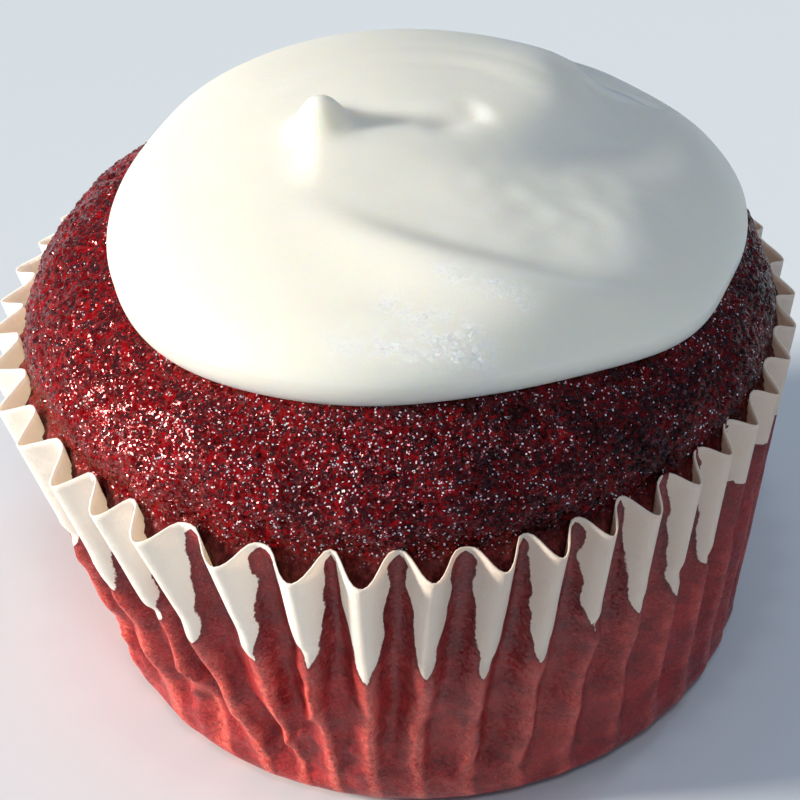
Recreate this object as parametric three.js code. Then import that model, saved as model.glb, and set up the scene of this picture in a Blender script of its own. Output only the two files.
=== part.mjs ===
// A cupcake: a sponge baked in a fluted paper case, under one thick dollop of frosting.
// Millimetres, +Z up. The origin is the middle of the case's underside, and the front is -Y.
// Angles go round +Z from the front (-Y) towards +X.
import * as THREE from 'three';
import { mergeVertices } from 'three/addons/utils/BufferGeometryUtils.js';

// Paper case
const fluteCount = 42;
const paperThickness = 0.4;
const baseRadius = 22;
const cornerRadius = 4;
const cornerTurns = [0, 35, 65]; // degrees round the corner, from the flat base up, of its points
const rimRadius = 30.6;
const rimHeight = 30.3;
const rimLean = -0.9; // the case's mouth sits this far along X from its base
const fluteStart = 0.6; // the flutes begin this far up the rounded corner
const footFluteDepth = 0.9; // ridge to valley, just above the rounded corner
const rimFluteDepth = 2.3; // ridge to valley, at the mouth
const deepSideShare = 0.35; // how much deeper than average the deepest flutes are
const deepSideAngle = -60;
const ridgeDrop = 0.6; // a ridge ends this much lower at the mouth, and a valley as much higher
const ridgeDropCurve = 3; // higher keeps that drop nearer the mouth

// Where along one flute, as shares of its width, its flat ridge and flat valley start and end
const fluteCorners = [
  { at: 0.17, level: 1 },
  { at: 0.4, level: 0 },
  { at: 0.6, level: 0 },
  { at: 0.83, level: 1 },
];

// The flutes aren't evenly spaced: these waves push them together and apart, in degrees
const spacingWaves = [
  { waves: 2, push: 4.9, phase: 73 },
  { waves: 1, push: 1.5, phase: -90 },
  { waves: 5, push: 0.5, phase: 90 },
];

// Sponge
const clearance = 0.3; // under the frosting
const wallClearance = 0.45; // between the sponge and the paper
const domeRadius = 28.4;
const domeFoot = 29.9;
const domeRise = 12.7;
const domeRows = 5;
const spongeFluteShare = 0.75; // how far the sponge fills the flutes
const spongeFluteFade = 3; // height over which that fades out above the dome's foot

// Frosting
const dollopCentre = { x: 2, y: 1.3 };
const dollopHalfWidth = 23.7;
const dollopFront = 25.1;
const dollopBack = 18.6;
const dollopTop = 48.4;
const dollopFullness = 1.82; // 2 is an ellipse, less is more pointed
const crownShift = { x: -3.3, y: 0.6 };
const bellyRise = 2.4; // the dollop's widest line stands this far above the sponge
const bellyTuck = 1.5; // and its foot lies this far in under that line
const rollShare = 0.35; // share of the lower half that rolls under, before it follows the dome
const dollopColumns = 58;
const dollopRows = 22;

// Where the dollop's outline swells or draws in
const outlineBulge = { size: 1.5, angle: -60, spread: 28 };
const outlineWave = { waves: 3, sine: -0.36, cosine: -0.6 };

// Marks left by the spoon: each rises (or sinks) by height, over a spread in x and y
const curlTip = { x: -5.5, y: -1.5, height: 3.4, spreadX: 2, spreadY: 3 };
const curlTail = { x: -8.5, y: -4.5, height: 1, spreadX: 4, spreadY: 4.5 };
const hollow = { x: 3.5, y: -3.5, height: -1, spreadX: 4.5, spreadY: 3 };
const frontLobe = { x: 5, y: -18.5, height: 0.9, spreadX: 8, spreadY: 2.6 };
const sideLobe = { x: 13, y: -7, height: 0.7, spreadX: 5, spreadY: 6 };
const marks = [curlTip, curlTail, hollow, frontLobe, sideLobe];
const markFade = 0.35; // share of the crown's height over which the marks fade in above the belly

const mergeDistance = 1e-4;

const radians = THREE.MathUtils.degToRad;
const mix = THREE.MathUtils.lerp;
const ease = THREE.MathUtils.smoothstep;

function moveVertices(geometry, move) {
  const places = geometry.attributes.position;
  const point = new THREE.Vector3();
  for (let i = 0; i < places.count; i++) {
    move(point.fromBufferAttribute(places, i));
    places.setXYZ(i, point.x, point.y, point.z);
  }
  return geometry;
}

// Joins the seam and the poles of a turned or round geometry, so that it is one closed skin.
function closeSkin(geometry) {
  geometry.deleteAttribute('normal');
  geometry.deleteAttribute('uv');
  const skin = mergeVertices(geometry, mergeDistance);
  const index = Array.from(skin.index.array);
  const kept = [];
  for (let i = 0; i < index.length; i += 3) {
    const [a, b, c] = index.slice(i, i + 3);
    if (a !== b && b !== c && c !== a) kept.push(a, b, c);
  }
  skin.setIndex(kept);
  skin.computeVertexNormals();
  return skin;
}

// A profile, given as [radius, height] from the axis and back to it, turned about Z.
function turned(profile, columns) {
  const points = profile.map(([radius, height]) => new THREE.Vector2(radius, height));
  return new THREE.LatheGeometry(points, columns).rotateX(Math.PI / 2);
}

function onCircle(point, radius, angle) {
  point.x = radius * Math.sin(angle);
  point.y = -radius * Math.cos(angle);
}

function angleOf(point) {
  return Math.atan2(point.x, -point.y);
}

// ---- Flutes

function spacedAngle(evenAngle) {
  let angle = evenAngle;
  for (const wave of spacingWaves) {
    angle += radians(wave.push) * Math.sin(wave.waves * evenAngle + radians(wave.phase));
  }
  return angle;
}

function fluteDepth(height, angle) {
  const climb = (height - cornerRadius) / (rimHeight - cornerRadius);
  const depth = mix(footFluteDepth, rimFluteDepth, Math.max(climb, 0));
  const lower = ease(height, fluteStart, cornerRadius);
  return depth * lower * (1 + deepSideShare * Math.cos(angle - radians(deepSideAngle)));
}

// Column number of a turned geometry with one column for each flute corner.
function fluteColumn(point) {
  const columns = fluteCount * fluteCorners.length;
  const turns = angleOf(point) / (2 * Math.PI);
  return (Math.round(turns * columns) + columns) % columns;
}

// Gives a turned skin its flutes. share is how much of the flutes' depth it follows.
function flute(geometry, share) {
  return moveVertices(geometry, (point) => {
    const radius = Math.hypot(point.x, point.y);
    if (radius < mergeDistance) return;
    const column = fluteColumn(point);
    const corner = fluteCorners[column % fluteCorners.length];
    const fluteNumber = Math.floor(column / fluteCorners.length);
    const angle = spacedAngle(((fluteNumber + corner.at) / fluteCount) * 2 * Math.PI);
    const depth = fluteDepth(point.z, angle) * share(point.z);
    const climb = Math.min(Math.max(point.z / rimHeight, 0), 1);
    onCircle(point, radius + depth * (corner.level - 0.5), angle);
    point.x += rimLean * climb;
    point.z += ridgeDrop * (1 - 2 * corner.level) * share(point.z) * climb ** ridgeDropCurve;
  });
}

// The wall's middle line, between ridge and valley, at a height above the rounded corner.
function wallRadius(height) {
  const climb = (height - cornerRadius) / (rimHeight - cornerRadius);
  return mix(baseRadius + cornerRadius, rimRadius, climb) - footFluteDepth / 2;
}

function cornerPoints(inset) {
  const points = [];
  const radius = cornerRadius - inset;
  for (const turn of cornerTurns) {
    const along = radius * Math.sin(radians(turn));
    const up = cornerRadius - radius * Math.cos(radians(turn));
    points.push([baseRadius - footFluteDepth / 2 + along, up]);
  }
  return points;
}

// ---- Pieces

function makePaperCase() {
  const wallStops = [cornerRadius, mix(cornerRadius, rimHeight, 0.5), rimHeight];
  const outside = wallStops.map((height) => [wallRadius(height), height]);
  const inside = wallStops.map((height) => [wallRadius(height) - paperThickness, height]);
  const profile = [
    [0, 0],
    ...cornerPoints(0),
    ...outside,
    ...inside.reverse(),
    ...cornerPoints(paperThickness).reverse(),
    [0, paperThickness],
  ];
  return closeSkin(flute(turned(profile, fluteCount * fluteCorners.length), () => 1));
}

// Height of the sponge's dome at a place. The dome leans with the case's mouth.
function domeHeight(x, y) {
  const reach = Math.min(Math.hypot(x - rimLean, y) / domeRadius, 1);
  return domeFoot + domeRise * Math.sqrt(1 - reach * reach);
}

function makeSponge() {
  const inset = paperThickness + wallClearance;
  const wallStops = [cornerRadius, mix(cornerRadius, domeFoot, 0.5)];
  const dome = [];
  for (let row = 0; row <= domeRows; row++) {
    const turn = (row / domeRows) * (Math.PI / 2);
    dome.push([domeRadius * Math.cos(turn), domeFoot + domeRise * Math.sin(turn)]);
  }
  dome[domeRows][0] = 0;
  const profile = [
    [0, inset],
    ...cornerPoints(inset),
    ...wallStops.map((height) => [wallRadius(height) - inset, height]),
    ...dome,
  ];
  const fadeOut = (height) => {
    const fade = 1 - ease(height, domeFoot, domeFoot + spongeFluteFade);
    return mix(1, spongeFluteShare, ease(height, cornerRadius, domeFoot)) * fade;
  };
  return closeSkin(flute(turned(profile, fluteCount * fluteCorners.length), fadeOut));
}

// The dollop's reach from its centre, at its widest line.
function dollopReach(angle) {
  const depth = Math.cos(angle) > 0 ? dollopFront : dollopBack;
  const ellipse = 1 / Math.hypot(Math.sin(angle) / dollopHalfWidth, Math.cos(angle) / depth);
  const turn = THREE.MathUtils.euclideanModulo(
    THREE.MathUtils.radToDeg(angle) - outlineBulge.angle + 180,
    360,
  ) - 180;
  const bulge = outlineBulge.size * Math.exp(-((turn / outlineBulge.spread) ** 2));
  const wave = outlineWave.sine * Math.sin(outlineWave.waves * angle)
    + outlineWave.cosine * Math.cos(outlineWave.waves * angle);
  return ellipse + bulge + wave;
}

function markHeight(x, y) {
  let height = 0;
  for (const mark of marks) {
    const across = (x - mark.x) / mark.spreadX;
    const along = (y - mark.y) / mark.spreadY;
    height += mark.height * Math.exp(-(across * across + along * along));
  }
  return height;
}

// Bends a unit sphere into the dollop: its upper half is the crown, and its lower half
// rolls in under the belly and then lies along the sponge's dome.
function makeFrosting() {
  const ball = new THREE.SphereGeometry(1, dollopColumns, dollopRows).rotateX(Math.PI / 2);
  return closeSkin(moveVertices(ball, (point) => {
    const angle = angleOf(point);
    const up = point.z;
    const reach = dollopReach(angle);
    const edgeX = dollopCentre.x + reach * Math.sin(angle);
    const edgeY = dollopCentre.y - reach * Math.cos(angle);
    const belly = domeHeight(edgeX, edgeY) + bellyRise;
    if (up >= 0) {
      const out = reach * (1 - Math.min(up, 1) ** dollopFullness) ** (1 / dollopFullness);
      onCircle(point, out, angle);
      point.x += dollopCentre.x + crownShift.x * up;
      point.y += dollopCentre.y + crownShift.y * up;
      point.z = mix(belly, dollopTop, up) + markHeight(point.x, point.y) * ease(up, 0, markFade);
      return;
    }
    const roll = Math.min(-up / rollShare, 1) * (Math.PI / 2);
    const inward = Math.max((-up - rollShare) / (1 - rollShare), 0);
    const foot = (reach - bellyTuck * (1 - Math.cos(roll))) * (1 - inward);
    onCircle(point, foot, angle);
    point.x += dollopCentre.x;
    point.y += dollopCentre.y;
    point.z = mix(belly, domeHeight(point.x, point.y) + clearance, Math.sin(roll));
  }));
}

// ---- Materials

const paper = new THREE.MeshStandardMaterial({ color: 0xb96a64, roughness: 0.75, metalness: 0 });
const crumb = new THREE.MeshStandardMaterial({ color: 0x5c0d14, roughness: 0.5, metalness: 0 });
const cream = new THREE.MeshStandardMaterial({ color: 0xf3f0e6, roughness: 0.4, metalness: 0 });

function piece(name, geometry, material) {
  const mesh = new THREE.Mesh(geometry, material);
  mesh.name = name;
  return mesh;
}

const cupcake = new THREE.Group();
cupcake.add(piece('paper_case', makePaperCase(), paper));
cupcake.add(piece('sponge', makeSponge(), crumb));
cupcake.add(piece('frosting', makeFrosting(), cream));

export default cupcake;
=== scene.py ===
import functools
import math
import random

import bmesh
import bpy
from mathutils import Matrix, Vector, noise


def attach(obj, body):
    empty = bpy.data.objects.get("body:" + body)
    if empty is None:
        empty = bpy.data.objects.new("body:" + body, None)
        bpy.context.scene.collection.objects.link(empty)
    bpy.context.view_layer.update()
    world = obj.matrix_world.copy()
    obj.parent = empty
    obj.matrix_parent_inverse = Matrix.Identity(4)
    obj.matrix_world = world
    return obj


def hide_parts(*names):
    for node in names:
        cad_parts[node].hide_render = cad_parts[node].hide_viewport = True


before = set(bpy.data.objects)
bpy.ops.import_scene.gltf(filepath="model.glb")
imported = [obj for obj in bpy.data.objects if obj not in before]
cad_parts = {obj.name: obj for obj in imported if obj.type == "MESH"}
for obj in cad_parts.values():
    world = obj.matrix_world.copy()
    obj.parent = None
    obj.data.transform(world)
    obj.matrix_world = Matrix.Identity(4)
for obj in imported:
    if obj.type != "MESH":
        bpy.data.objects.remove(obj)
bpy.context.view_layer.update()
scene = bpy.context.scene
mm = 0.001
mergeDistance = 1e-5
print("frame loaded:", ", ".join(sorted(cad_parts)))


# Small helpers.

def mix(a, b, share):
    return a + (b - a) * share


def clamp(value, low=0.0, high=1.0):
    return max(low, min(high, value))


def ease(value, start, end):  # 0 at start, 1 at end, smooth between
    share = clamp((value - start) / (end - start))
    return share * share * (3 - 2 * share)


def bell(distance, spread):
    return math.exp(-(distance / spread) ** 2)


def turnBetween(angle, other):  # degrees from other to angle, the short way round
    return (angle - other + 180) % 360 - 180


def angleOf(x, y):
    return math.degrees(math.atan2(x, -y))


def onCircle(radius, angle, height):
    turn = math.radians(angle)
    return Vector((radius * math.sin(turn), -radius * math.cos(turn), height))


def turnProfile(profile, columns):  # spins [radius, height] points about Z into one skin
    bm = bmesh.new()
    points = [bm.verts.new((0, -radius, height)) for radius, height in profile]
    lines = [bm.edges.new(pair) for pair in zip(points, points[1:])]
    bmesh.ops.spin(bm, geom=points + lines, cent=(0, 0, 0), axis=(0, 0, 1), dvec=(0, 0, 0),
                   angle=math.tau, steps=columns, use_merge=True, use_normal_flip=False,
                   use_duplicate=False)
    bmesh.ops.remove_doubles(bm, verts=bm.verts, dist=mergeDistance)
    return bm


def finishPiece(name, bm, material):
    bmesh.ops.recalc_face_normals(bm, faces=bm.faces)
    for face in bm.faces:
        face.smooth = True
    mesh = bpy.data.meshes.new(name)
    bm.to_mesh(mesh)
    bm.free()
    mesh.transform(Matrix.Scale(mm, 4))
    mesh.materials.append(material)
    piece = bpy.data.objects.new(name, mesh)
    scene.collection.objects.link(piece)
    print(name, "made:", len(mesh.polygons), "faces")
    return piece


# Shader expressions.

class Wire:  # one socket, so that shader sums read as Python
    def __init__(self, finish, socket):
        self.finish = finish
        self.socket = socket

    def sum(self, operation, a, b):
        return self.finish.node("ShaderNodeMath", {"operation": operation}, {0: a, 1: b})

    def __add__(self, other):
        return self.sum("ADD", self, other)

    def __radd__(self, other):
        return self.sum("ADD", other, self)

    def __sub__(self, other):
        return self.sum("SUBTRACT", self, other)

    def __rsub__(self, other):
        return self.sum("SUBTRACT", other, self)

    def __mul__(self, other):
        return self.sum("MULTIPLY", self, other)

    def __rmul__(self, other):
        return self.sum("MULTIPLY", other, self)

    def other(self, output):  # another output of the same node
        return Wire(self.finish, self.socket.node.outputs[output])


class Finish:  # a material and the nodes that feed its shader
    def __init__(self, name):
        self.material = bpy.data.materials.new(name)
        self.material.use_nodes = True
        self.tree = self.material.node_tree
        self.shader = self.tree.nodes["Principled BSDF"]

    def node(self, kind, settings=None, sockets=None, output=0):
        made = self.tree.nodes.new(kind)
        for key, value in (settings or {}).items():
            setattr(made, key, value)
        for key, value in (sockets or {}).items():
            self.feed(made.inputs[key], value)
        return Wire(self, made.outputs[output])

    def feed(self, socket, value):
        if isinstance(value, Wire):
            self.tree.links.new(value.socket, socket)
        elif hasattr(value, "__len__") and socket.type == "RGBA":
            socket.default_value = (*value, 1)
        else:
            socket.default_value = value

    def place(self):  # where on the piece, in metres
        return self.node("ShaderNodeTexCoord", output="Object")

    def attribute(self, name):
        return self.node("ShaderNodeAttribute", {"attribute_name": name}, output="Fac")

    def grain(self, size, detail=3, rough=0.55, at=None):  # noise from 0 to 1, size in millimetres
        return self.node("ShaderNodeTexNoise", {}, {
            "Vector": at or self.place(), "Scale": 1 / (size * mm), "Detail": detail, "Roughness": rough})

    def cells(self, size):  # a random colour for each small cell, size in millimetres
        return self.node("ShaderNodeTexVoronoi", {}, {
            "Vector": self.place(), "Scale": 1 / (size * mm)}, "Color")

    def lot(self, cell):  # a steady random value from 0 to 1 for each cell
        return self.node("ShaderNodeTexWhiteNoise", {"noise_dimensions": "3D"}, {"Vector": cell})

    def facets(self, cell, tilt):  # height in millimetres of tiny flat faces, each cell turned its own way
        turn = self.node("ShaderNodeVectorMath", {"operation": "SUBTRACT"}, {0: cell, 1: (0.5, 0.5, 0.5)})
        away = self.node("ShaderNodeVectorMath", {"operation": "SUBTRACT"}, {
            0: self.place(), 1: cell.other("Position")})
        rise = self.node("ShaderNodeVectorMath", {"operation": "DOT_PRODUCT"}, {0: turn, 1: away}, "Value")
        return rise * (2 * tilt / mm)

    def step(self, value, start, end):  # 0 at start, 1 at end, smooth between
        return self.node("ShaderNodeMapRange", {"interpolation_type": "SMOOTHSTEP"}, {
            "Value": value, "From Min": start, "From Max": end, "To Min": 0, "To Max": 1})

    def blend(self, share, a, b):  # between two colours
        return self.node("ShaderNodeMix", {"data_type": "RGBA"}, {0: share, 6: a, 7: b}, 2)

    def relief(self, height):  # height in millimetres
        return self.node("ShaderNodeBump", {}, {"Height": height, "Distance": mm, "Strength": 1.0})

    def set(self, sockets):
        for name, value in sockets.items():
            self.feed(self.shader.inputs[name], value)


# The paper case.

paperCase = {
    "flutes": 42,
    "columnsPerFlute": 14,
    "wallRows": 54,
    "thickness": 0.13,
    "baseRadius": 22,
    "cornerRadius": 4,
    "rimHeight": 30.35,
    "rimLean": -1.17,  # the mouth sits this far along X from the base
    "rimRidge": 31.65,
    "rimRidgeSwell": 0.4,  # ridges reach further out on the deep side
    "rimValley": 29.5,
    "deepSide": -60,
    "footDepth": 1.35,
    "valleyRound": 0.1,  # how softly the valleys' floors meet
    "press": 0.18,  # how far the flutes' feet are pressed to one side, in flutes
    "ridgeDrop": 0.6,  # the rim dips this much on the ridges and rises as much in the valleys
    "pinchHeight": 19.6,  # about where the ridges are pinched in a little
    "stuckRadius": 28,  # of the wall that the cake is stuck to, about
    "spacingWaves": [(2, 4.9, 73), (1, 1.5, -90), (5, 0.5, 90)],  # waves, push and phase, in degrees
    "turn": -0.7,  # degrees
    "nudges": {-4: -1.5, -5: -0.6, -7: -0.9, -9: -0.8, -10: -0.7},  # degrees, by flute number
    "slants": [(10, 28, -7.0), (-43, 17, 7.0)],  # angle, spread and turn of the foot against the rim
    "calm": (22, 45, 140, 170),  # degrees between which the stuck wall is smoother
    # creases in the stuck wall: angle and height of both ends, half width and rise
    "creases": [
        (-30.3, 5.5, -22.3, 9.1, 1.1, 0.55), (-18, 7, -13.9, 7.9, 0.8, 0.35),
        (7, 8.2, 1.9, 4.1, 1.0, 0.5), (8.1, 10.7, 7, 8.2, 0.8, 0.35),
        (-42.5, 13, -40.3, 11.8, 1.3, 0.8), (-40.3, 11.8, -44.6, 8.6, 1.2, 0.6),
        (-18.3, 15.6, -17.4, 13.9, 0.9, 0.6), (-17.4, 13.9, -20.4, 11.3, 0.9, 0.6),
        (14.5, 12.2, 16.5, 12.1, 0.6, 0.3), (-3.6, 6.0, -2.4, 4.4, 0.9, 0.35),
        (-66, 9, -60, 6, 1.1, 0.5), (-95, 12, -88, 8, 1.2, 0.5), (-150, 10, -142, 13, 1.2, 0.5),
        (170, 6, 177, 11, 1.1, 0.5), (118, 12, 124, 9, 1.0, 0.4), (-122, 7, -116, 9, 1.0, 0.4),
    ],
    # hollows: angle, height, half width in degrees, half height, lean and depth
    "hollows": [
        (-41.3, 7.5, 2.4, 3.2, 0.0, 1.1), (-25.7, 4.6, 3.4, 1.7, -0.5, 0.7),
        (-5.3, 13.5, 1.9, 3.5, 0.2, 0.6), (-20, 15.6, 1.2, 1.6, 0.0, 0.8),
        (-33.5, 16, 1.6, 3.0, 0.2, 0.5), (12, 10, 2.2, 3.4, 0.3, 0.45),
        (-75, 10, 2.4, 3.5, 0.0, 0.6), (-110, 8, 2.6, 3.0, 0.2, 0.6),
        (-160, 9, 2.4, 3.4, 0.0, 0.6), (150, 10, 2.2, 3.5, -0.2, 0.5),
    ],
    "whiteTip": 18.3,  # how high the dry white parts start
    "whiteTipLift": 6.5,  # and how much higher at the far right, where they join into a band
    "bandWaves": 1.3,  # how uneven the band's lower edge is
    "stainBlur": 0.04,  # half the width of a stain's soft edge
    "whiteColour": (0.88, 0.81, 0.73),
    "shadedWhiteColours": ((0.7, 0.545, 0.45), (0.75, 0.61, 0.525)),  # painted shade: the dry white paper away from the sun
    "soakedColours": ((0.27, 0.008, 0.01), (0.53, 0.026, 0.026)),
    "coralAndLitRidgeColours": ((0.76, 0.062, 0.047), (0.98, 0.205, 0.15)),  # low on the ridges: a paler coral stain, partly a painted highlight where they catch the sun
    "hazeColour": (0.11, 0.014, 0.015),
    "darkSpeck": (0.07, 0.004, 0.008),
    "paleSpeck": (0.75, 0.22, 0.18),
    "tideColour": (0.13, 0.008, 0.012),  # the dark line round a stain
    # painted shade on the stain, away from the sun
    "shadeColour": (0.02, 0.002, 0.003),
    "sunThrough": (0.15, 0.105, 0.065),  # painted glow: stands in for the low sun's light through thin dry paper
}


@functools.lru_cache(None)
def fluteRandom(number, kind):  # a steady random value from -1 to 1 for a flute
    return random.Random(f"{kind} {number % paperCase['flutes']}").uniform(-1, 1)


def evenAngle(phase):
    return phase * 360 / paperCase["flutes"]


def nudgeAt(phase):
    number = math.floor(phase)
    share = ease(phase - number, 0, 1)
    count = paperCase["flutes"]
    wrapped = [(n + count // 2) % count - count // 2 for n in (number, number + 1)]
    return mix(*(paperCase["nudges"].get(n, 0) for n in wrapped), share)


def fluteAngle(phase, climb):
    even = evenAngle(phase)
    angle = even + paperCase["turn"] + nudgeAt(phase)
    for waves, push, shift in paperCase["spacingWaves"]:
        angle += push * math.sin(math.radians(waves * even + shift))
    for centre, spread, turn in paperCase["slants"]:
        angle += turn * bell(turnBetween(angle, centre), spread) * (1 - climb)
    return angle


def calmAt(angle):
    start, full, fade, end = paperCase["calm"]
    return ease(angle, start, full) * (1 - ease(angle, fade, end))


def fluteSection(phase, climb):
    # How the flute stands at a phase: signed share of its width from the ridge, and level
    # (1 on the ridge, 0 in the valley). Creased on the deep side, flat in front, round at the right.
    # Low down the flutes are pressed over, so that their faces differ in width.
    low = 1 - ease(climb, 0.25, 0.7)
    press = paperCase["press"] * low
    number = round(phase + press)
    even = (evenAngle(number) + 180) % 360 - 180
    creased = bell(turnBetween(even, -75), 32)
    rounded = ease(even, 20, 50) * (1 - ease(even, 120, 160))
    flat = mix(0.14, 0.03, creased) * (1 - 0.5 * rounded) + 0.02 * fluteRandom(number, "flat")
    foot = 0.44 + 0.02 * fluteRandom(number, "foot")
    soft = mix(mix(0.12, 0.14, rounded), 0.04, creased)
    flat = mix(flat, 0.04 + 0.04 * fluteRandom(number, "low flat"), low)
    foot = mix(foot, 0.42 + 0.06 * fluteRandom(number, "low foot"), low)
    soft = mix(soft, 0.06, low)
    foot = min(foot, 0.5 - soft)
    kinkHeight = 0.4 + 0.12 * fluteRandom(number, "kink height")
    calm = calmAt(even)
    kink = 0.1 * fluteRandom(number, "kink") * bell(climb - kinkHeight, 0.09) * (1 - 0.85 * calm)
    wander = 0.16 * noise.noise(Vector((number * 3.1, climb * 3.4, 2))) * low * (1 - 0.94 * calm)
    lean = 0.05 * fluteRandom(number, "lean") * ease(climb, 0.3, 1)
    across = phase - number
    across *= 0.5 / (0.5 + press if across < 0 else 0.5 - press)
    across -= (kink + wander + lean) * ease(0.5 - abs(across), 0, 0.15)
    shares = [clamp((foot - abs(across + soft * slide)) / (foot - flat)) for slide in (-1, -0.5, 0, 0.5, 1)]
    level = sum(shares) / len(shares)
    soften = paperCase["valleyRound"]
    return number, even, across, level * level * (1 + soften) / (level + soften)


def dent(angle, height):  # how far the stuck lower wall is pushed in or out
    perDegree = math.radians(paperCase["stuckRadius"])  # millimetres along the wall
    place = onCircle(paperCase["stuckRadius"], angle, height)
    soft = noise.noise(place / 5.0) * 0.5 + noise.noise(place / 2.1 + Vector((7, 3, 1))) * 0.2
    folds = abs(noise.noise(Vector((angle / 9, height / 5.5 + angle / 40, 4.2)))) - 0.2
    where = ease(height, 1.5, 6) * (1 - ease(height, 17, 25))
    push = (soft - 0.7 * folds) * where * (1 - 0.88 * calmAt(turnBetween(angle, 0)))
    for angleA, heightA, angleB, heightB, width, rise in paperCase["creases"]:
        along, up = turnBetween(angleB, angleA) * perDegree, heightB - heightA
        right, over = turnBetween(angle, angleA) * perDegree, height - heightA
        share = clamp((right * along + over * up) / (along * along + up * up))
        away = math.hypot(right - share * along, over - share * up)
        if away < width:
            push += rise * (1 - away / width) ** 1.4
    for centre, level, wide, tall, lean, depth in paperCase["hollows"]:
        over = height - level
        across = turnBetween(angle, centre) - lean * over
        if abs(over) < 3 * tall:
            push -= depth * bell(across, wide) * bell(over, tall)
    return push


def casePoint(radius, height, phase, inset=0.0, fill=1.0):
    # Where a point of the wall's ridge profile goes. inset moves it inside, fill is how much of
    # the flutes' depth it follows.
    case = paperCase
    corner = case["cornerRadius"]
    climb = clamp((height - corner) / (case["rimHeight"] - corner))
    angle = fluteAngle(phase, climb)
    number, even, across, level = fluteSection(phase, climb)
    if radius > 1:
        swell = case["rimRidgeSwell"] * math.cos(math.radians(even - case["deepSide"]))
        rimRidge = case["rimRidge"] + swell + 0.16 * fluteRandom(number, "reach")
        rimValley = case["rimValley"] + 0.2 * fluteRandom(math.floor(phase), "valley")
        if height > corner:
            ridge = mix(case["baseRadius"] + corner, rimRidge, climb)
            valley = mix(case["baseRadius"] + corner - case["footDepth"], rimValley, climb)
            worn = 0.25 + 0.5 * noise.noise(Vector((math.floor(phase) * 2.3, climb * 4, 9)))
            valley = mix(valley, ridge, clamp(worn, 0, 0.6) * (1 - ease(climb, 0.2, 0.6)))
            valley = mix(valley, ridge, 0.75 * (1 - ease(height, corner, corner + 3)))
            pinch = 0.25 + 0.25 * fluteRandom(number, "pinch")
            ridge -= pinch * bell(height - case["pinchHeight"] - fluteRandom(number, "pinch height"), 0.8)
        else:
            ridge = radius
            valley = radius - 0.25 * case["footDepth"] * ease(height, 0.5, corner)
        radius = mix(valley, ridge, level * fill) + dent(angle, height) - inset
    place = onCircle(radius, angle, height)
    place.x += case["rimLean"] * clamp(height / case["rimHeight"])
    place.z += case["ridgeDrop"] * (1 - 2 * level) * fill * climb ** 3
    return place, number, even, across, level


def whiteEdge(number, even, across, height):
    # Distance in millimetres inside (or, when negative, outside) the dry white part of a flute.
    # At the far right the white parts join into a band with an uneven lower edge.
    wide = ease(even, 50, 60) * (1 - ease(even, 80, 110))
    here = even + evenAngle(across) * wide
    own, beside = (fluteRandom(n, "tip") for n in (number, number + (1 if across > 0 else -1)))
    tip = paperCase["whiteTip"] + 0.8 * mix(own, beside, abs(across) * wide)
    tip += paperCase["whiteTipLift"] * ease(even, 53, 57) * (1 - ease(here, 75, 95))
    tip += paperCase["bandWaves"] * noise.noise(Vector((here / 4, 7, 0))) * wide
    rise = (height - tip) / (paperCase["rimHeight"] - tip)
    width = 0.4 * max(rise, 0) ** 0.55 * mix(1, 1.25, bell(turnBetween(even, -80), 40))
    width = mix(width, 0.8 * ease(rise, 0, 0.02), wide)
    band = 0.22 * ease(rise, 0.93, 1.0) * (1 - ease(even, 25, 45))
    pitch = 4.7  # millimetres from ridge to ridge
    if rise < 0:
        return (rise * (paperCase["rimHeight"] - tip)) - abs(across) * pitch
    return (width + band - abs(across)) * pitch


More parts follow.
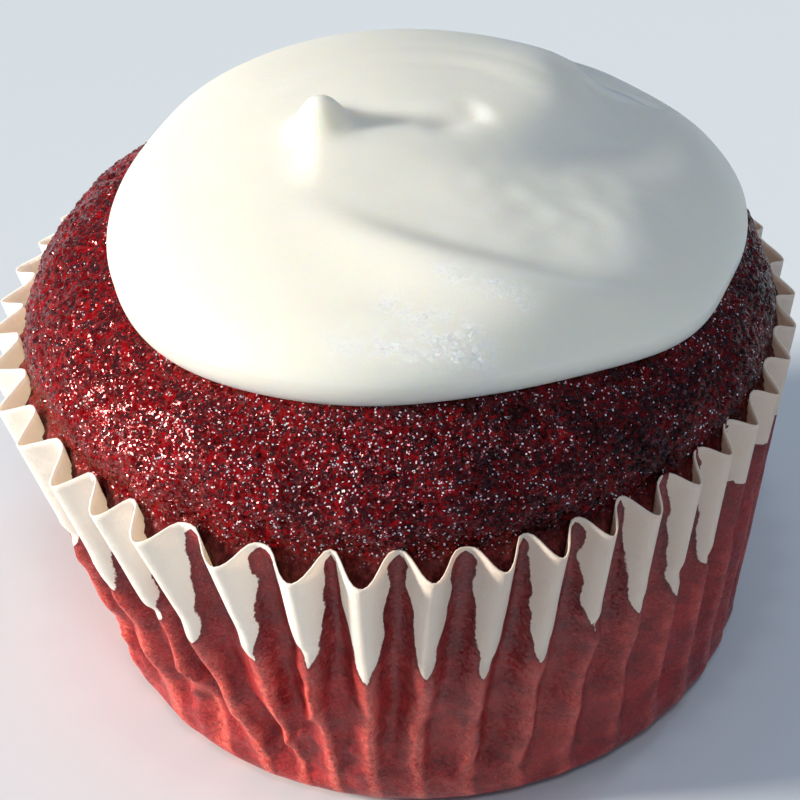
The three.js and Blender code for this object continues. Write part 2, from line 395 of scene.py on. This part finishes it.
def paperFinish():
    finish = Finish("paper_finish")
    case = paperCase
    edge = finish.attribute("whiteEdge")
    right = finish.node("ShaderNodeSeparateXYZ", {}, {"Vector": finish.place()})  # metres along X
    # painted light and shade: 1 on the sun's side, to the left, 0 to the right
    sunnyShare = finish.step(right, 0.004, -0.014)
    ridge = finish.attribute("ridge")
    height = finish.attribute("height")
    wander = edge + (finish.grain(2.6, 0) - 0.5) * 0.9 + (finish.grain(0.4, 2, 0.6) - 0.5) * 0.24
    dry = finish.step(wander, -case["stainBlur"], case["stainBlur"])
    tide = finish.step(wander, -0.45, -0.02) * (1 - dry)
    cloud = finish.grain(2.2, 4, 0.6)
    mottle = finish.grain(0.5, 3, 0.6)
    speck = finish.grain(0.2, 1, 0.5)
    # the raised ridges, which get the coral stain and its painted highlight
    raised = finish.step(ridge + (cloud - 0.5) * 0.8, 0.4, 1.0)
    soaked = finish.blend(finish.step(cloud, 0.3, 0.7), *case["soakedColours"])
    coralAndLitRidge = finish.blend(finish.step(mottle, 0.3, 0.7), *case["coralAndLitRidgeColours"])
    stain = finish.blend(raised * finish.step(height, 24, 12) * 0.85, soaked, coralAndLitRidge)
    haze = finish.step(height, 14, 24) * (0.25 + 0.3 * mottle)
    stain = finish.blend(haze, stain, case["hazeColour"])
    stain = finish.blend(finish.step(speck, 0.5, 0.3) * 0.55, stain, case["darkSpeck"])
    stain = finish.blend(finish.step(speck, 0.62, 0.8) * 0.4, stain, case["paleSpeck"])
    stain = finish.blend(tide * 0.65, stain, case["tideColour"])
    # painted shade: the stain gets darker towards the right, away from the sun
    stain = finish.blend((1 - sunnyShare) * 0.3, stain, case["shadeColour"])
    shadedWhite = finish.blend(finish.grain(3.0, 3), *case["shadedWhiteColours"])
    # painted light and shade: white paper in the sun, a darker shaded copy to the right
    white = finish.blend(sunnyShare, shadedWhite, case["whiteColour"])
    crinkle = 0.07 * finish.grain(0.7, 2, 0.5) + finish.facets(finish.cells(0.25), 0.2)
    finish.set({
        "Base Color": finish.blend(dry, stain, white),
        "Roughness": 0.38 + 0.3 * dry + 0.12 * mottle,
        "Specular IOR Level": 0.4,
        "Subsurface Weight": 0.9,
        "Subsurface Radius": (1.0, 0.82, 0.68),
        "Subsurface Scale": 0.34 * mm,
        # painted light: the dry paper on the sun's side glows a little
        "Emission Color": finish.blend(dry * sunnyShare, (0, 0, 0), case["sunThrough"]),
        "Emission Strength": 1.0,
        "Normal": finish.relief(crinkle * (1 - 0.6 * dry)),
    })
    return finish.material


def makePaperCase():
    case = paperCase
    corner = case["cornerRadius"]
    profile = [(radius, 0) for radius in (0, 7, 14, 19, case["baseRadius"])]
    cornerSteps = 9
    for index in range(1, cornerSteps):
        turn = math.radians(80) * index / (cornerSteps - 1)
        profile.append((case["baseRadius"] + corner * math.sin(turn), corner * (1 - math.cos(turn))))
    rows = case["wallRows"]
    for row in range(rows + 1):
        height = mix(corner, case["rimHeight"], row / rows)
        profile.append((case["baseRadius"] + corner, height))
    columns = case["flutes"] * case["columnsPerFlute"]
    bm = turnProfile(profile, columns)
    layers = {name: bm.verts.layers.float.new(name) for name in ("whiteEdge", "ridge", "height")}
    for vert in bm.verts:
        x, y, height = vert.co
        phase = angleOf(x, y) / 360 * case["flutes"]
        phase = round(phase * case["columnsPerFlute"]) / case["columnsPerFlute"]
        place, number, even, across, level = casePoint(math.hypot(x, y), height, phase)
        nearRim = ease(height, case["rimHeight"] - 1, case["rimHeight"])
        place.z += 0.16 * noise.noise(Vector((phase * 2.7, 3, 0))) * nearRim
        vert.co = place
        vert[layers["whiteEdge"]] = whiteEdge(number, even, across, height)
        # weaker towards the right, so there is less coral and less painted ridge highlight there
        vert[layers["ridge"]] = level * mix(1, 0.74, ease(even, -8, 20))
        vert[layers["height"]] = height
    piece = finishPiece("paper_case_folded", bm, paperFinish())
    wall = piece.modifiers.new("paper thickness", "SOLIDIFY")
    wall.thickness = case["thickness"] * mm
    wall.offset = -1
    return piece


# The sponge.

sponge = {
    "columnsPerFlute": 20,
    "domeRows": 84,
    "domeRadius": 29.15,
    "domeFoot": 31.0,
    "domeRise": 11.75,
    "domeLean": -1.0,
    "inset": 0.2,
    "hiddenInset": 0.8,
    # share of the flutes' depth that it fills: low down, where the paper is dry, and at the rim
    "fill": (0.88, 0.3, 0.85),
    "pocketFoot": 27.6,  # above this its side shows in the flutes
    "hiddenTurn": 56,  # degrees up the dome, past which the frosting covers it
    "shadeWay": (0.93, -0.36),  # the way along X and Y in which the crumb is painted darker, as shade away from the sun
    "shadeBand": (-19, 24),  # millimetres that way over which it does
    "beadSize": 0.17,
    "beadTilt": 0.66,
    # colours of two: painted lit on the sunny side and painted shade on the far side
    "pitColours": ((0.08, 0.0008, 0.002), (0.005, 0.0004, 0.0008)),
    "redColours": ((0.32, 0.003, 0.006), (0.14, 0.002, 0.004)),
    "wetColours": ((0.32, 0.065, 0.065), (0.06, 0.028, 0.036)),
    # painted glints: pale specks in the colour that stand in for sparkle
    "paintedGlintColour": (0.72, 0.68, 0.78),
    "paintedGlintSize": 0.115,
    "paintedGlintMiddle": 0.55,  # how far into the painted shade the painted glints are densest
    "crustColours": ((0.05, 0.004, 0.005), (0.2, 0.035, 0.03)),  # the side under the dome
}


def domeHeight(x, y):
    reach = min(math.hypot(x - sponge["domeLean"], y) / sponge["domeRadius"], 1)
    return sponge["domeFoot"] + sponge["domeRise"] * math.sqrt(1 - reach * reach)


def crumbRelief(place):  # millimetres out from the smooth dome
    lumps = 0.34 * noise.noise(place / 4.4) + 0.16 * noise.noise(place / 1.8 + Vector((5, 1, 9)))
    grain = 0.26 * (0.42 - noise.voronoi(place / 0.5)[0][0])
    fine = 0.1 * noise.noise(place / 0.27)
    pit = -0.3 * ease(noise.noise(place / 0.8 + Vector((2, 8, 3))), 0.36, 0.62)
    return lumps + grain + fine + pit


def paintedShadeAt(place):  # painted shade: how much darker the crumb is made to the right and front, from 0 to 1
    wayX, wayY = sponge["shadeWay"]
    return ease(place.x * wayX + place.y * wayY, *sponge["shadeBand"])


def spongeFinish():
    finish = Finish("sponge_finish")
    side = finish.attribute("side")
    dark = finish.attribute("dark")
    cloud = finish.grain(2.6, 4, 0.6)
    crumb = finish.grain(0.42, 3, 0.7)
    clump = finish.step(finish.grain(0.9, 1, 0.5), 0.42, 0.56)
    bead = finish.cells(sponge["beadSize"])
    luck = finish.lot(bead)
    # painted light and shade: each colour goes from its lit copy to its shaded copy with dark
    pit = finish.blend(dark, *sponge["pitColours"])
    red = finish.blend(dark, *sponge["redColours"])
    top = finish.blend(finish.step(crumb + 0.5 * (cloud - 0.5), 0.38, 0.64), pit, red)
    away = dark - sponge["paintedGlintMiddle"]
    # painted glints: pale specks in the colour, most of them in front, in loose clusters
    glint = finish.lot(finish.cells(sponge["paintedGlintSize"])) + 0.1 * (cloud - 0.5) - 0.11 * away * away
    paintedGlints = finish.step(glint, 0.955, 0.975) * (1 - side)
    wet = finish.step(luck - 0.25 * dark, 0.32, 0.38) * clump * (1 - side) * (1 - paintedGlints)
    top = finish.blend(wet, top, finish.blend(dark, *sponge["wetColours"]))
    top = finish.blend(paintedGlints, top, sponge["paintedGlintColour"])
    streak = finish.node("ShaderNodeMapping", {}, {"Vector": finish.place(), "Scale": (1, 1, 0.3)})
    pores = finish.grain(0.5, 4, 0.7, streak)
    crust = finish.blend(finish.step(pores, 0.35, 0.68), *sponge["crustColours"])
    facets = finish.facets(bead, sponge["beadTilt"]) * (1 - luck) * (1 - 0.8 * side)
    height = 0.1 * finish.grain(0.8, 0) + facets
    finish.set({
        "Base Color": finish.blend(side, top, crust),
        "Metallic": wet,
        "Roughness": 0.16 + 0.5 * side,
        "Specular IOR Level": 0.14,
        "Normal": finish.relief(height),
    })
    return finish.material


def domeOutline(turn):  # radius and height of the dome, that many radians up from its foot
    return sponge["domeRadius"] * math.cos(turn), sponge["domeFoot"] + sponge["domeRise"] * math.sin(turn)


def makeSponge():
    cake = sponge
    case = paperCase
    corner = case["cornerRadius"]
    lift = 0.45  # its underside stands this far above the case's
    profile = [(0, lift), (14, lift), (case["baseRadius"], lift), (case["baseRadius"] + 2.4, 1.3)]
    profile += [(case["baseRadius"] + corner, height) for height in (corner, 9, 14, 17, 20, 24)]
    pocketRows = 20
    for row in range(pocketRows):
        height = mix(cake["pocketFoot"], cake["domeFoot"], row / pocketRows)
        profile.append((case["baseRadius"] + corner, height))
    for row in range(cake["domeRows"] + 1):
        profile.append(domeOutline(math.radians(cake["hiddenTurn"]) * (row / cake["domeRows"]) ** 1.1))
    profile += [domeOutline(math.radians(degrees)) for degrees in (64, 74, 83)]  # under the frosting
    profile.append((0, cake["domeFoot"] + cake["domeRise"]))
    bm = turnProfile(profile, case["flutes"] * cake["columnsPerFlute"])
    sideLayer = bm.verts.layers.float.new("side")
    darkLayer = bm.verts.layers.float.new("dark")
    flatness = (cake["domeRadius"] / cake["domeRise"]) ** 2
    for vert in bm.verts:
        x, y, height = vert.co
        radius = math.hypot(x, y)
        phase = angleOf(x, y) / 360 * case["flutes"]
        phase = round(phase * cake["columnsPerFlute"]) / cake["columnsPerFlute"]
        if height >= cake["domeFoot"] - 1e-4:
            place = onCircle(radius, fluteAngle(phase, 1), height)
            out = Vector((place.x, place.y, (height - cake["domeFoot"]) * flatness)).normalized()
            place.x += cake["domeLean"]
            place += out * crumbRelief(place)
            vert.co = place
            vert[sideLayer] = 0
            vert[darkLayer] = paintedShadeAt(place)
            continue
        inset = mix(cake["hiddenInset"], cake["inset"], ease(height, 18, cake["pocketFoot"]))
        low, dry, rim = cake["fill"]
        fill = mix(mix(low, dry, ease(height, 14, 19)), rim, ease(height, 27, 29.3))
        place = casePoint(radius, height, phase, inset, fill)[0]
        shoulder = ease(height, cake["pocketFoot"], cake["domeFoot"])
        foot = onCircle(cake["domeRadius"], fluteAngle(phase, 1), height)
        foot.x += cake["domeLean"]
        place = place.lerp(foot, shoulder)
        out = Vector((place.x, place.y, 0)).normalized()
        place += out * crumbRelief(place) * ease(height, cake["pocketFoot"], cake["pocketFoot"] + 0.8)
        vert.co = place
        vert[sideLayer] = 1 - ease(height, cake["pocketFoot"] + 1.6, cake["domeFoot"] - 0.3)
        vert[darkLayer] = paintedShadeAt(place)
    return finishPiece("sponge_crumb", bm, spongeFinish())


# The frosting.

dollop = {
    "roundness": 7,  # subdivisions of the ball that it starts from
    "centre": (2, 1.3),
    "halfWidth": 23.7,
    "front": 25.1,
    "back": 18.6,
    "top": 48.4,
    "fullness": 1.82,
    "crownShift": (-3.3, 0.6),
    "bellyRise": 2.4,
    "bellyTuck": 1.5,
    "rollShare": 0.35,
    "sink": 0.35,  # how far its foot sits down in the crumb
    # where its foot bulges out or in: size, angle and spread
    "bulges": [(1.65, -59, 30), (-0.95, -103, 17), (0.2, -15, 15), (-0.55, 28, 45), (0.45, 46, 15),
               (-0.28, 66, 10), (0.95, 107, 15)],
    "wave": (3, -0.36, -0.6),  # waves round its foot, with the sizes of their sine and cosine
    "ridgeSpread": 0.9,  # of the wet ridges
    "wetRidges": [(2.5, -17.1, 8, -18.6), (-1.9, -18.6, 4, -20.9), (-5.5, -21, 5, -21.8)],  # start and end
    "curl": (-5.9, -0.4, 2.2),  # place and rise
    "fin": (-6.0, 0.95),  # place along X and rise
    "pocket": (4.3, -0.4, 0.55),  # place and depth
    "troughDepth": 0.5,
    "swooshLine": (-15, 0.0205, 11),  # place along Y where it turns, bend, and that turn's place along X
    "lobeRise": 0.95,
    "grooveDepth": 0.3,
    "fold": (15.3, 0.6, 1.4),  # distance from the middle, rise of its crest, drop of the ledge
    "shoulder": (11.3, 0.7, 1.25),  # place along X, rise of its crest, drop behind it
    "rings": [(11, -0.04), (12.8, 0.03), (14.4, -0.04)],  # the spoon's rings at the back: radius and height
    # broad swells: height, middle and spread along X, middle and spread along Y
    "swells": [(0.6, 5, 8, -18.5, 2.8), (-0.6, 12, 6.5, -3, 6.5)],
    "creamColours": ((0.89, 0.862, 0.75), (0.915, 0.892, 0.805)),
    # painted sheen: the colour along the wet ridges, which are also glossier
    "paintedSheenColour": (0.96, 0.965, 0.95),
}


def dollopReach(angle):
    turn = math.radians(angle)
    depth = dollop["front"] if math.cos(turn) > 0 else dollop["back"]
    ellipse = 1 / math.hypot(math.sin(turn) / dollop["halfWidth"], math.cos(turn) / depth)
    waves, sine, cosine = dollop["wave"]
    wave = sine * math.sin(waves * turn) + cosine * math.cos(waves * turn)
    bulges = sum(size * bell(turnBetween(angle, middle), spread)
                 for size, middle, spread in dollop["bulges"])
    return ellipse + wave + bulges


def curlHeight(x, y):  # the little rounded tip, and the low fin that leads up to it
    curlX, curlY, rise = dollop["curl"]
    finX, finRise = dollop["fin"]
    right, back = x - curlX, y - curlY
    out = math.hypot(right / 1.9, back / (2.3 if back < 0 else 1.6))
    tip = rise * math.exp(-out ** 2.8)
    across = x - finX
    fin = finRise * bell(across, 1.5 if across < 0 else 9) * ease(y, -8.5, -4) * (1 - ease(y, -2, 1))
    return tip + fin


def pocketHeight(x, y):  # the sharp dimple at the end of the curl's trough
    pocketX, pocketY, depth = dollop["pocket"]
    right, back = x - pocketX, y - pocketY
    along, across = right * 0.89 + back * 0.45, back * 0.89 - right * 0.45
    dip = -depth * bell(across, 1.4) * ease(along, -3.6, -0.4) * (1 - ease(along, 1.3, 2.9))
    trough = bell(y + 0.1, 2.4 if y < -0.1 else 1.4) * ease(x, -4.5, -2) * (1 - ease(x, 0, 6))
    return dip - dollop["troughDepth"] * trough


def swooshHeight(x, y):  # the spoon's last stroke: a step with a full lobe in front of it
    start, bend, middle = dollop["swooshLine"]
    line = start + bend * (x - middle) ** 2
    slope = 2 * bend * (x - middle)
    behind = (y - line) / math.hypot(1, slope)
    length = ease(x, -9, 3)
    ahead = -behind
    lobe = dollop["lobeRise"] * ease(ahead, -1.0, 2.1) * bell(max(ahead - 2.1, 0), 3.0)
    hollow = -0.16 * bell(behind - 0.6, 1.5) - 0.35 * bell(behind - 3, 3.5)
    groove = -dollop["grooveDepth"] * bell(y + 18.9 + 0.1 * (x - 2), 1.0) * bell(x - 1, 6)
    return (lobe * (1 - ease(x, 13, 23)) + hollow * (1 - ease(x, 9, 17))) * length + groove


def foldHeight(x, y):  # the stroke's far edge: a crest with a ledge behind it
    reach, crestRise, ledgeDrop = dollop["fold"]
    right, back = x - dollop["centre"][0], y - dollop["centre"][1]
    angle = angleOf(right, back)
    out = math.hypot(right, back)
    crest = reach + 4.5 * (1 - ease(angle, 108, 121)) + 0.09 * max(angle - 126, 0)
    where = ease(angle, 110, 116) * (1 - ease(angle, 132, 152))
    past = out - crest
    brow = bell(min(past, 0), 1.2) * (1 - ease(past, -0.1, 0.5)) * (1 - ease(angle, 122, 138))
    ledge = ease(past, -0.1, 0.5) * bell(max(past - 0.5, 0), 1.7)
    return (crestRise * brow - ledgeDrop * ledge) * where


def shoulderHeight(x, y):  # the plateau's right edge, which curls round to the dimple
    start, crestRise, depth = dollop["shoulder"]
    bend = 4 - y
    line = start - 0.69 * (bend + math.sqrt(bend * bend + 2)) / 2
    past = (x - line) * mix(1, 0.82, ease(bend, 0, 3)) - mix(1.9, 0.9, ease(y, 3, 11))
    crest = crestRise * bell(min(past, 0), 5.5) * (1 - ease(past, 0.2, 4.3))
    soft = (past + math.sqrt(past * past + 1.5)) / 2
    drop = -depth * (1 - math.exp(-soft / 3)) * (1 - ease(x, 16, 24))
    return (crest + drop) * ease(y, -6, 1) * (1 - ease(y, 8, 16))


def strokeHeight(x, y):  # faint marks of the spoon over the back and in the right lobe
    out = math.hypot(x - 1, y + 3)
    angle = angleOf(x - 1, y + 3)
    back = ease(abs(angle), 110, 150)
    rings = sum(size * bell(out - radius, 0.8) for radius, size in dollop["rings"])
    edge = 18.2 - 0.18 * (7 + y) - x
    patch = 0.25 * ease(edge, -1.4, 1.6) * bell(max(edge - 1, 0), 3.5) * bell(y + 10.5, 3.5)
    mottle = 0.14 * noise.noise(Vector((x / 2.3, y / 1.8, 0))) * bell(x - 11, 7) * bell(y + 8.5, 4.5)
    return back * rings + patch + mottle


def markHeight(x, y):
    broad = sum(size * bell(x - middleX, spreadX) * bell(y - middleY, spreadY)
                for size, middleX, spreadX, middleY, spreadY in dollop["swells"])
    return (broad + curlHeight(x, y) + pocketHeight(x, y) + swooshHeight(x, y)
            + foldHeight(x, y) + shoulderHeight(x, y) + strokeHeight(x, y))


def sheenAt(x, y):  # 1 along the wet ridges of the lobe
    sheen = 0
    for startX, startY, endX, endY in dollop["wetRidges"]:
        alongX, alongY = endX - startX, endY - startY
        share = clamp(((x - startX) * alongX + (y - startY) * alongY) / (alongX * alongX + alongY * alongY))
        away = math.hypot(x - startX - share * alongX, y - startY - share * alongY)
        sheen += bell(away, dollop["ridgeSpread"])
    return min(sheen, 1)


def dollopPoint(ball):  # where a point of the unit ball goes
    angle = angleOf(ball.x, ball.y)
    reach = dollopReach(angle)
    centreX, centreY = dollop["centre"]
    turn = math.radians(angle)
    cake = domeHeight(centreX + reach * math.sin(turn), centreY - reach * math.cos(turn))
    belly = cake + dollop["bellyRise"]
    up = clamp(ball.z, -1, 1)
    if up >= 0:
        full = dollop["fullness"]
        place = onCircle(reach * (1 - up ** full) ** (1 / full), angle, 0)
        place.x += centreX + dollop["crownShift"][0] * up
        place.y += centreY + dollop["crownShift"][1] * up
        place.z = mix(belly, dollop["top"], up) + markHeight(place.x, place.y) * ease(up, 0, 0.35)
        return place
    share = dollop["rollShare"]
    roll = min(-up / share, 1) * (math.pi / 2)
    inward = max((-up - share) / (1 - share), 0)
    place = onCircle((reach - dollop["bellyTuck"] * (1 - math.cos(roll))) * (1 - inward), angle, 0)
    place.x += centreX
    place.y += centreY
    place.z = mix(belly, domeHeight(place.x, place.y) - dollop["sink"], math.sin(roll))
    return place


def frostingFinish():
    finish = Finish("frosting_finish")
    cloud = finish.grain(7, 3)
    pits = finish.grain(0.22, 2, 0.6)
    silk = finish.node("ShaderNodeMapping", {}, {
        "Vector": finish.place(), "Rotation": (0, 0, 0.5), "Scale": (0.35, 1, 1)})
    strokes = finish.grain(1.4, 3, 0.5, silk)
    sheen = finish.attribute("sheen") * finish.step(finish.grain(0.9, 2), 0.3, 0.6)
    cream = finish.blend(cloud, *dollop["creamColours"])
    glints = finish.facets(finish.cells(0.2), 0.16) * sheen
    finish.set({
        # painted sheen: the wet ridges are painted paler, besides being less rough
        "Base Color": finish.blend(sheen * 0.55, cream, dollop["paintedSheenColour"]),
        "Roughness": 0.36 + 0.1 * cloud - 0.17 * sheen,
        "Specular IOR Level": 0.5,
        "Subsurface Weight": 0.85,
        "Subsurface Radius": (1.0, 0.8, 0.5),
        "Subsurface Scale": 2.8 * mm,
        "Normal": finish.relief(0.012 * pits + 0.04 * strokes + glints),
    })
    return finish.material


def makeFrosting():
    bm = bmesh.new()
    bmesh.ops.create_icosphere(bm, subdivisions=dollop["roundness"], radius=1)
    sheenLayer = bm.verts.layers.float.new("sheen")
    for vert in bm.verts:
        vert.co = dollopPoint(vert.co.normalized())
        vert[sheenLayer] = sheenAt(vert.co.x, vert.co.y)
    return finishPiece("frosting_dollop", bm, frostingFinish())


# Pieces into the frame.

def settle(piece, node):
    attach(piece, "root")
    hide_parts(node)


settle(makePaperCase(), "paper_case")
settle(makeSponge(), "sponge")
settle(makeFrosting(), "frosting")


# Floor, light and camera.

studio = {
    "floorSize": 1.2,
    "floorColour": (0.765, 0.825, 0.87),
    "sunSide": -88,  # degrees from the front, towards -X
    "sunRise": 22,
    "sunStrength": 4.9,
    "sunSpread": 12,
    "sunColour": (1.0, 0.93, 0.82),
    "skyColour": (0.78, 0.92, 1.14),
    "skyStrength": 0.222,
    # soft panels: side and rise of where it hangs, distance and width in metres, watts, colour
    "panels": {
        "fill": (6, 55, 0.8, 0.11, 0.9, (0.84, 0.9, 0.97)),
        "above": (0, 78, 0.8, 0.065, 0.33, (0.84, 0.9, 0.97)),
        "glint": (125, 48, 0.9, 0.08, 0.5, (0.55, 0.75, 1.0)),
    },
}


def makeFloor():
    bm = bmesh.new()
    bmesh.ops.create_grid(bm, x_segments=1, y_segments=1, size=studio["floorSize"] / 2 / mm)
    finish = Finish("floor_finish")
    finish.set({"Base Color": studio["floorColour"], "Roughness": 0.55, "Specular IOR Level": 0.3})
    floor = finishPiece("floor", bm, finish.material)


def makeLight():
    sun = bpy.data.lights.new("key", "SUN")
    sun.energy = studio["sunStrength"]
    sun.angle = math.radians(studio["sunSpread"])
    sun.color = studio["sunColour"]
    lamp = bpy.data.objects.new("key", sun)
    towards = onCircle(1, studio["sunSide"], math.tan(math.radians(studio["sunRise"])))
    lamp.rotation_euler = towards.to_track_quat("Z", "Y").to_euler()
    scene.collection.objects.link(lamp)
    for name, (side, rise, distance, width, watts, colour) in studio["panels"].items():
        panel = bpy.data.lights.new(name, "AREA")
        panel.size = width
        panel.energy = watts
        panel.color = colour
        stand = bpy.data.objects.new(name, panel)
        towards = onCircle(1, side, math.tan(math.radians(rise))).normalized()
        stand.location = towards * distance
        stand.rotation_euler = towards.to_track_quat("Z", "Y").to_euler()
        scene.collection.objects.link(stand)
    world = bpy.data.worlds.new("sky")
    world.use_nodes = True
    sky = world.node_tree.nodes["Background"]
    sky.inputs["Color"].default_value = (*studio["skyColour"], 1)
    sky.inputs["Strength"].default_value = studio["skyStrength"]
    scene.world = world


camera = {
    "place": (0, -188.51, 170.81),
    "yaw": 0.43,
    "pitchDown": 38.43,
    "roll": -4.05,
    "lens": 135.05,
    "sensor": 36,
}


def makeCamera():
    eye = bpy.data.cameras.new("camera")
    eye.lens = camera["lens"]
    eye.sensor_width = camera["sensor"]
    holder = bpy.data.objects.new("camera", eye)
    turns = [Matrix.Rotation(math.radians(angle), 4, axis) for angle, axis in (
        (camera["yaw"], "Z"), (90 - camera["pitchDown"], "X"), (camera["roll"], "Z"))]
    holder.matrix_world = Matrix.Translation(Vector(camera["place"]) * mm) @ turns[0] @ turns[1] @ turns[2]
    scene.collection.objects.link(holder)
    scene.camera = holder


makeFloor()
makeLight()
makeCamera()
scene.view_settings.view_transform = "Standard"
scene.view_settings.look = "None"
print("light and camera set")
